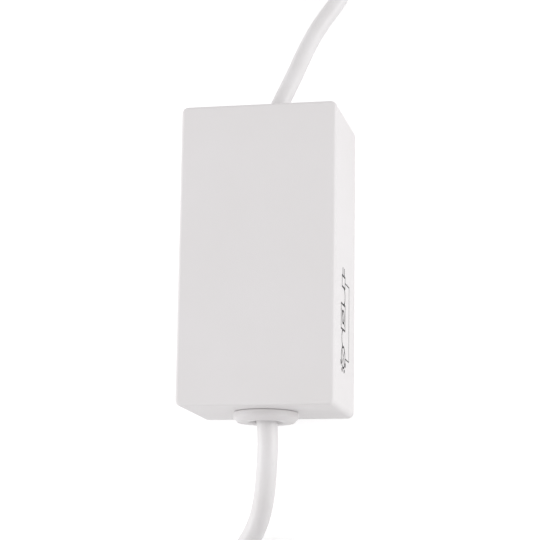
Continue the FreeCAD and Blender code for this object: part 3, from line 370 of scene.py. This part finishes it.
def soft_lamp(name, place, size, watts):
    """A square studio lamp aimed at the middle of the case, with its place and size in metres."""
    lamp = bpy.data.objects.new(name, bpy.data.lights.new(name, "AREA"))
    lamp.data.shape = "SQUARE"
    lamp.data.size = size
    lamp.data.energy = watts
    lamp.location = place
    lamp.rotation_euler = (Vector((0, 0, 0.02)) - Vector(place)).to_track_quat("-Z", "Y").to_euler()
    bpy.context.collection.objects.link(lamp)


soft_lamp("right_lamp", (1.2, 0.0, 0.35), 0.7, 5.8)
soft_lamp("left_lamp", (-1.2, -0.1, 0.4), 0.8, 6.8)
soft_lamp("near_lamp", (-0.3, -1.2, 0.4), 0.8, 1.0)

bpy.context.scene.view_settings.view_transform = "Standard"

# Case
# Hood and base are moulded in white ABS with a fine spark-eroded grain. The hood is one deep box; the base
# closes it from behind and is held by four screws.


def give(names, material):
    """Assign a material to the object of each named node."""
    for name in names:
        mesh = nodes[name].data
        mesh.materials.clear()
        mesh.materials.append(material)


def moulded(name, base, shade, roughness=0.42, grain=1.0, scale=1.0):
    """Injection-moulded plastic: fine grain, cloudy flow and faint rubbed patches."""
    finish = Finish(name, Specular_IOR_Level=0.45)
    cloud = finish.noise(28.0 / scale, 3.0, 0.55).within(0.3, 0.7)
    rubbed = finish.noise(60.0 / scale, 5.0, 0.7).within(0.5, 0.72)
    pits = finish.noise(4200.0 / scale, 2.0, 0.6)
    finish.surface(Base_Color=finish.mix(cloud, base, shade),
                   Roughness=roughness - rubbed * 0.08 + pits * 0.08)
    finish.bump(pits, 0.03 * grain)
    return finish.material


case_plastic = moulded("case_plastic", colour(0.80, 0.785, 0.79), colour(0.78, 0.765, 0.765))
give(["hood", "base_plate"], case_plastic)

# Bushings
# One round plastic moulding in each end, slipped into the slot between hood and base, with a bevelled
# flange outside and a bore wider than the cord. The upper one is drawn a little lower, so that the case's
# edge hides it from the camera.
bushing_plastic = moulded("bushing_plastic", colour(0.75, 0.735, 0.74), colour(0.72, 0.705, 0.705), 0.36, 0.6)


def turned_ring(name, profile):
    """A closed outline of distances from the cord's axis and places along it, turned round that axis."""
    ring = bmesh.new()
    corners = [ring.verts.new((reach * MM, along * MM, bore_height * MM)) for reach, along in profile]
    for pair in zip(corners, corners[1:] + corners[:1]):
        ring.edges.new(pair)
    bmesh.ops.bevel(ring, geom=corners, offset=0.22 * MM, segments=3, profile=0.5, affect="VERTICES",
                    material=-1)
    bmesh.ops.spin(ring, geom=ring.verts[:] + ring.edges[:], cent=(0, 0, bore_height * MM), axis=(0, 1, 0),
                   angle=math.tau, steps=96, use_merge=True)
    bmesh.ops.recalc_face_normals(ring, faces=ring.faces[:])
    return finished(name, ring, 32.0)


# Distances from the cord's axis, then places along it from the inner end to the flange.
bore, neck, inner_flange, flange = 4.85, 7.0, 8.8, 9.8
inner_end, groove_inside, groove_outside = 42.3, 43.9, 46.1
bevel, flare = 1.2, 0.6
for name, way, rim in (("input_bushing", -1, 49.2), ("output_bushing", 1, 48.3)):
    profile = [(bore + flare, rim), (flange - bevel, rim), (flange, rim - bevel), (flange, groove_outside),
               (neck, groove_outside), (neck, groove_inside), (inner_flange, groove_inside),
               (inner_flange, inner_end), (bore, inner_end), (bore, rim - flare)]
    bushing = turned_ring(name + "_ring", [(reach, along * way) for reach, along in profile])
    bushing.data.materials.append(bushing_plastic)
    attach(bushing, "base")
    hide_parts(name)

# Wiring drawing
# Dark ink printed on the lower half of the right side: a plug, its cord, the dimmer's box, the second
# cord and a lamp, with the second conductor as a straight line beside them.
ink = Finish("drawing_ink", Specular_IOR_Level=0.3)
thin_ink = ink.noise(2600.0, 3.0, 0.7).within(0.35, 0.75)
ink.surface(Base_Color=ink.mix(thin_ink, colour(0.02, 0.02, 0.022), colour(0.10, 0.10, 0.10)),
            Roughness=0.5 + thin_ink * 0.12)
drawing = bmesh.new()
half_width = 24
# The side's own axes run along the case, up from its back, and out.
right_side = Matrix(((0, 0, 1, half_width), (1, 0, 0, 0), (0, 1, 0, 0), (0, 0, 0, 1)))


def stroke(start, stop, width=0.6, print_on=drawing, surface=right_side):
    """A straight printed line between two points of a flat surface, whose third axis points out of it."""
    middle = Matrix.Translation(((start[0] + stop[0]) / 2, (start[1] + stop[1]) / 2, 0))
    turn = Matrix.Rotation(math.atan2(stop[1] - start[1], stop[0] - start[0]), 4, "Z")
    extent = Matrix.Diagonal((math.dist(start, stop) + width, width, 0.04, 1))
    bmesh.ops.create_cube(print_on, size=1, matrix=Matrix.Scale(MM, 4) @ surface @ middle @ turn @ extent)


def bent_stroke(middle, reach, first, last, steps=14, width=0.6):
    """A printed arc round a point, from one angle in degrees to another."""
    turns = [math.radians(first + (last - first) * step / steps) for step in range(steps + 1)]
    arc = [(middle[0] + reach * math.cos(turn), middle[1] + reach * math.sin(turn)) for turn in turns]
    for start, stop in zip(arc, arc[1:]):
        stroke(start, stop, width)


def boxed_stroke(low, high, **how):
    """A printed rectangle."""
    corners = [low, (high[0], low[1]), high, (low[0], high[1]), low]
    for start, stop in zip(corners, corners[1:]):
        stroke(start, stop, **how)


fine = 0.42
# plug with two pins, then its cord in a slack bend
boxed_stroke((-8.6, 17.4), (-5.2, 22.6))
stroke((-5.2, 18.7), (-3.0, 18.7), 0.8)
stroke((-5.2, 21.3), (-3.0, 21.3), 0.8)
bent_stroke((-11.3, 20.0), 2.7, 0, -180)
# dimmer's box with its setting ring and arrow, then the second cord
boxed_stroke((-21.6, 17.0), (-14.0, 24.0))
bent_stroke((-17.8, 20.5), 1.9, 0, 360, 20)
stroke((-20.2, 18.0), (-15.6, 23.0), fine)
bent_stroke((-24.2, 20.0), 2.6, 0, 180)
# lamp with its crossed filament and four rays
bulb = (-30.0, 20.0)
bent_stroke(bulb, 3.2, 0, 360, 28)
stroke((-32.26, 17.74), (-27.74, 22.26), fine)
stroke((-32.26, 22.26), (-27.74, 17.74), fine)
for turn in (115, 155, 205, 245):
    bent_stroke(bulb, 4.4, turn - 4, turn + 4, 2, 0.9)
# straight conductor beside them
stroke((-6.9, 17.4), (-6.9, 10.0), fine)
stroke((-30.0, 16.8), (-30.0, 10.0), fine)
stroke((-30.0, 10.0), (-6.9, 10.0), fine)

wiring_drawing = finished("wiring_drawing", drawing)
wiring_drawing.data.materials.append(ink.material)
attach(wiring_drawing, "hood")

# Screws
# Zinc-plated steel with turned heads: four that close the case, four in the cord clamps, four that hold
# the board and two through the transistors.


def plated(name, base, shade, roughness):
    """Plated metal: bright, a little uneven, duller where the plating is thin."""
    finish = Finish(name, Metallic=1.0)
    patch = finish.noise(700.0, 4.0, 0.65).within(0.35, 0.75)
    lines = finish.node("ShaderNodeTexWave", {"wave_type": "RINGS", "rings_direction": "Z"},
                        {"Vector": finish.place, "Scale": 1500.0, "Distortion": 6.0, "Detail": 2.0})
    finish.surface(Base_Color=finish.mix(patch, base, shade),
                   Roughness=roughness + patch * 0.12 + lines * 0.05)
    finish.bump(lines * 0.4 + patch * 0.6, 0.008)
    return finish.material


zinc_steel = plated("zinc_steel", colour(0.66, 0.66, 0.68), colour(0.50, 0.50, 0.53), 0.28)
give(["cover_screws", "input_clamp_screws", "output_clamp_screws", "board_screws", "transistor_screws"],
     zinc_steel)

# Cord clamps
# A pale grey nylon bar is pressed across each cord by two screws, so that a pull on the cord stays away
# from the terminals.
clamp_nylon = moulded("clamp_nylon", colour(0.66, 0.66, 0.65), colour(0.60, 0.60, 0.58), 0.5, 1.4)
give(["input_clamp_bar", "output_clamp_bar"], clamp_nylon)

# Terminals
# Grey-green polyamide blocks that hold zinc-plated cages and screws, over tinned contact bars soldered
# into the board.
terminal_polyamide = moulded("terminal_polyamide", colour(0.30, 0.45, 0.37), colour(0.25, 0.39, 0.32), 0.44)
give(["input_terminal_housing", "output_terminal_housing"], terminal_polyamide)
terminal_steel = plated("terminal_steel", colour(0.60, 0.60, 0.58), colour(0.42, 0.43, 0.42), 0.34)
give([end + pole + part for end in ("input_", "output_") for pole in ("live_", "neutral_")
      for part in ("cage", "screw")], terminal_steel)
tinned = plated("tinned", colour(0.72, 0.72, 0.71), colour(0.55, 0.55, 0.54), 0.36)
give(["terminal_contacts", "component_leads", "transistor_frames"], tinned)

# Wiring
# The held ends of both cords: the white sheath is cut back under the clamps, and the brown and blue cores
# go on to the terminals, which grip their bared copper strands.
give(["supply_sheath", "lamp_sheath"], cord_vinyl)


def insulation(name, base, shade):
    """Glossy extruded core insulation with a slightly wavy skin."""
    finish = Finish(name, Specular_IOR_Level=0.5)
    ripple = finish.noise(350.0, 3.0)
    finish.surface(Base_Color=finish.mix(finish.noise(120.0, 2.0), base, shade),
                   Roughness=0.26 + ripple * 0.12)
    finish.bump(ripple, 0.03)
    return finish.material


brown_core = insulation("brown_core", colour(0.16, 0.07, 0.035), colour(0.11, 0.045, 0.02))
give(["live_cores", "lamp_end_live_core"], brown_core)
blue_core = insulation("blue_core", colour(0.03, 0.14, 0.50), colour(0.02, 0.10, 0.38))
give(["neutral_cores", "lamp_end_neutral_core"], blue_core)
strands = Finish("copper_strands", Metallic=1.0)
lay_and_strand_shade = strands.node("ShaderNodeTexWave", {"wave_type": "BANDS", "bands_direction": "DIAGONAL"},
                   {"Vector": strands.stretched(1, 0.35, 1), "Scale": 900.0, "Distortion": 0.6})
# Diagonal bands along the lay: bright copper on each strand, with darker bands between them that are painted
# shade.
strands.surface(Base_Color=strands.mix(lay_and_strand_shade, colour(0.38, 0.16, 0.07), colour(0.86, 0.50, 0.34)),
                Roughness=0.3)
strands.bump(lay_and_strand_shade, 0.08)
give(["core_strands"], strands.material)

# Bare lamp end
# A tinned ferrule is crimped round the bared strands of each core. Its moulded collar, the wide end
# nearer the hank, is pale plastic.
collar_end = 171.9
ferrule = Finish("ferrule", Specular_IOR_Level=0.5)
metal = ferrule.axis(1) > collar_end * MM
dimple = ferrule.node("ShaderNodeTexVoronoi", {}, {"Vector": ferrule.stretched(1, 1.6, 1), "Scale": 900.0})
ferrule.surface(Base_Color=ferrule.mix(metal, colour(0.62, 0.62, 0.62), colour(0.70, 0.70, 0.69)),
                Metallic=metal, Roughness=0.42 - metal * 0.1 + dimple * 0.1)
ferrule.bump(dimple, 0.08)
give(["lamp_end_ferrules"], ferrule.material)

# Circuit board
# Glass-epoxy board under green solder mask. Copper traces show through it as paler bands, and the
# radio's small board is the same.


def solder_mask(name, flat, across, along):
    """Green mask over copper, with pale traces and a fine weave where there is none."""
    finish = Finish(name, Specular_IOR_Level=0.5, Coat_Weight=0.35, Coat_Roughness=0.15)
    grid = finish.stretched(*flat)
    cells = finish.node("ShaderNodeTexVoronoi", {"distance": "MANHATTAN", "feature": "F1"},
                        {"Vector": grid, "Scale": 230.0, "Randomness": 0.55})
    edges = finish.node("ShaderNodeTexBrick", {"offset": 0.5},
                        {"Vector": grid, "Scale": 60.0, "Mortar Size": 0.055, "Color1": colour(0, 0, 0),
                         "Color2": colour(0, 0, 0), "Mortar": colour(1, 1, 1), "Brick Width": across,
                         "Row Height": along})
    bright = finish.node("ShaderNodeRGBToBW", {}, {0: edges})
    trace = bright.most((cells < 0.18) * 0.8)
    weave = finish.noise(2400.0, 2.0)
    finish.surface(Base_Color=finish.mix(trace, colour(0.010, 0.085, 0.035), colour(0.030, 0.20, 0.075)),
                   Roughness=0.34 + weave * 0.14 - trace * 0.08)
    finish.bump(trace * 0.8 + weave * 0.2, 0.06)
    return finish.material


give(["circuit_board"], solder_mask("board_mask", (1, 1, 0.01), 0.5, 0.25))
give(["radio_board"], solder_mask("radio_mask", (1, 0.01, 1), 0.35, 0.2))

# Board legend
# White ink screened onto the finished board, with an outline round the foot of each part that shows the
# assembler its place. The lines stay clear of the board's edge.
beside_part, inside_edge = 0.5, 0.3
board_low, board_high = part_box("circuit_board")
board_top = Matrix.Translation((0, 0, board_high[2] / MM))
legend = bmesh.new()
for part in ("input_terminal_housing", "output_terminal_housing", "fuse", "varistor", "film_capacitor",
             "electrolytic_capacitor", "choke_core", "transformer_bobbin", "control_chip", "pairing_switch",
             "trimmer_base", "radio_header"):
    low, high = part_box(part)
    low = [max(low[way] / MM - beside_part, board_low[way] / MM + inside_edge) for way in (0, 1)]
    high = [min(high[way] / MM + beside_part, board_high[way] / MM - inside_edge) for way in (0, 1)]
    boxed_stroke(low, high, width=0.2, print_on=legend, surface=board_top)
board_legend = finished("board_legend", legend)
legend_ink = moulded("legend_ink", colour(0.70, 0.70, 0.68), colour(0.60, 0.60, 0.58), 0.5)
board_legend.data.materials.append(legend_ink)
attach(board_legend, "base")

# Board parts
# Fuse, transistors, bobbin, chip, switch and header are black mouldings; the varistor and the trimmer are
# dipped or moulded in blue, the film capacitor is yellow, and the cores are sintered ferrite.
black_moulding = moulded("black_moulding", colour(0.022, 0.022, 0.023), colour(0.030, 0.030, 0.031), 0.46,
                         grain=1.2)
give(["fuse", "transistor_bodies", "transformer_bobbin", "control_chip", "radio_header", "pairing_switch",
      "pairing_plunger"], black_moulding)
blue_coat = moulded("blue_coat", colour(0.03, 0.13, 0.42), colour(0.025, 0.10, 0.34), 0.28, grain=2.5,
                    scale=2.0)
give(["varistor", "trimmer_base"], blue_coat)
rotor_nylon = moulded("rotor_nylon", colour(0.72, 0.71, 0.68), colour(0.66, 0.65, 0.62))
give(["trimmer_rotor"], rotor_nylon)
film_case = moulded("film_case", colour(0.72, 0.46, 0.05), colour(0.66, 0.41, 0.04), 0.34)
give(["film_capacitor"], film_case)
ferrite = moulded("ferrite", colour(0.045, 0.045, 0.048), colour(0.065, 0.063, 0.062), 0.6, grain=3.0)
give(["choke_core", "transformer_core"], ferrite)

# Electrolytic capacitor
# An aluminium can in a shrunk black sleeve with one printed stripe, soldered upright into the board. Its
# bare top is scored with a cross, where the can may open under pressure.
can = Finish("can_sleeve", Specular_IOR_Level=0.5)
can_low, can_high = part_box("electrolytic_capacitor")
can_radius = (can_high[0] - can_low[0]) / 2
across = can.axis(0) - (can_low[0] + can_radius)
along = can.axis(1) - (can_low[1] + can_radius)
bare_top = can.axis(2) > can_high[2] - 0.4 * MM
stripe = across < -0.55 * can_radius
groove = abs(across).least(abs(along)) < 0.2 * MM
score = groove * (abs(across).most(abs(along)) < 0.6 * can_radius)
sleeve = can.mix(stripe, colour(0.02, 0.02, 0.03), colour(0.42, 0.42, 0.43))
# The scored cross is painted much darker than the bare aluminium round it: painted shade in its groove.
aluminium = can.mix(score, colour(0.78, 0.78, 0.79), colour(0.30, 0.30, 0.31))
can.surface(Base_Color=can.mix(bare_top, sleeve, aluminium), Metallic=bare_top,
            Roughness=0.32 + can.noise(500.0, 2.0) * 0.1)
can.bump(can.noise(900.0, 2.0) * 0.3 - score * bare_top, 0.05)
give(["electrolytic_capacitor"], can.material)

# Choke winding
# Enamelled copper wire, wound tightly through the ferrite ring. The enamel is shellac red and a little
# duller in patches.
enamel = Finish("enamel_wire", Metallic=0.85, Coat_Weight=0.6, Coat_Roughness=0.12)
dull = enamel.noise(600.0, 3.0)
enamel.surface(Base_Color=enamel.mix(dull, colour(0.52, 0.17, 0.05), colour(0.34, 0.09, 0.03)),
               Roughness=0.22 + dull * 0.2)
enamel.bump(dull, 0.02)
give(["choke_winding"], enamel.material)

# Heat spreader and radio shield
# Rolled aluminium plate and a nickel-silver can, both with the mill's lengthwise lines. The transistors
# are screwed to the plate, and the can is soldered over the radio.


def rolled(name, base, shade, stretch, roughness):
    """Rolled sheet with fine lines along the way that it was rolled."""
    finish = Finish(name, Metallic=1.0)
    lines = finish.noise(1200.0, 4.0, 0.7, finish.stretched(*stretch))
    finish.surface(Base_Color=finish.mix(lines, base, shade), Roughness=roughness + lines * 0.16)
    finish.bump(lines, 0.01)
    return finish.material


mill_aluminium = rolled("mill_aluminium", colour(0.62, 0.63, 0.645), colour(0.46, 0.47, 0.49),
                        (1, 0.03, 1), 0.38)
give(["heat_spreader"], mill_aluminium)
nickel_silver = rolled("nickel_silver", colour(0.70, 0.68, 0.63), colour(0.58, 0.56, 0.51),
                       (0.03, 1, 1), 0.26)
give(["radio_shield"], nickel_silver)

# Plug
# A flat two-pin plug moulded onto the cord in glossy white vinyl, with a ribbed boot. Its brass pins are
# nickel-plated, with black sleeves at their roots.
plug_vinyl = moulded("plug_vinyl", colour(0.82, 0.805, 0.81), colour(0.80, 0.785, 0.785), 0.28, 0.5)
give(["plug_body"], plug_vinyl)
nickel_pins = plated("nickel_pins", colour(0.72, 0.70, 0.66), colour(0.60, 0.58, 0.54), 0.18)
give(["plug_pins"], nickel_pins)
sleeve_black = moulded("sleeve_black", colour(0.02, 0.02, 0.02), colour(0.03, 0.03, 0.03), 0.34)
give(["plug_pin_sleeves"], sleeve_black)

# Plug seam
# The fine raised line that the two halves of the mould leave round the plug and its boot, in the same
# vinyl. It follows the plug's outline at half its height.
parting = bmesh.new()
parting.from_mesh(nodes["plug_body"].data)
bmesh.ops.remove_doubles(parting, verts=parting.verts[:], dist=0.002 * MM)
bmesh.ops.bisect_plane(parting, geom=parting.verts[:] + parting.edges[:] + parting.faces[:],
                       dist=0.001 * MM, plane_co=(0, 0, plug_middle * MM), plane_no=(0, 0, 1),
                       clear_inner=True, clear_outer=True)
rim = [max(parting.verts, key=lambda vertex: vertex.co.y)]
while len(rim) < len(parting.verts):
    ahead = [edge.other_vert(rim[-1]) for edge in rim[-1].link_edges]
    ahead = [vertex for vertex in ahead if vertex not in rim[-2:] and vertex is not rim[0]]
    if not ahead:
        break
    rim.append(ahead[0])
seam_line = bpy.data.curves.new("plug_seam", "CURVE")
seam_line.dimensions = "3D"
seam_line.bevel_depth = 0.12 * MM
seam_line.bevel_resolution = 1
spline = seam_line.splines.new("POLY")
spline.points.add(len(rim) - 1)
for point, vertex in zip(spline.points, rim):
    point.co = (*vertex.co, 1.0)
spline.use_cyclic_u = True
parting.free()
seam_line.materials.append(plug_vinyl)
plug_seam = bpy.data.objects.new("plug_seam", seam_line)
bpy.context.collection.objects.link(plug_seam)
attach(plug_seam, "base")

# Ties
# A flat grey band round the middle of each hank, woven from plastic thread and closed on itself, which
# holds the put-away loops together.
tie_weave = Finish("tie_weave", Specular_IOR_Level=0.3, Sheen_Weight=0.2)
thread_scale = 420.0
warp = tie_weave.node("ShaderNodeTexWave", {"bands_direction": "Y"},
                      {"Vector": tie_weave.place, "Scale": thread_scale})
weft = tie_weave.node("ShaderNodeTexWave", {"bands_direction": "X"},
                      {"Vector": tie_weave.place, "Scale": thread_scale})
crossing_highlight_and_shade = warp * weft
# The band is paler where warp and weft rise together and darker in the gaps between the threads: painted
# highlight and painted shade of the weave.
tie_weave.surface(Base_Color=tie_weave.mix(crossing_highlight_and_shade, colour(0.50, 0.50, 0.50), colour(0.70, 0.70, 0.69)),
                  Roughness=0.85)
tie_weave.bump(crossing_highlight_and_shade, 0.1)
give(["cord_ties"], tie_weave.material)

bpy.context.view_layer.update()
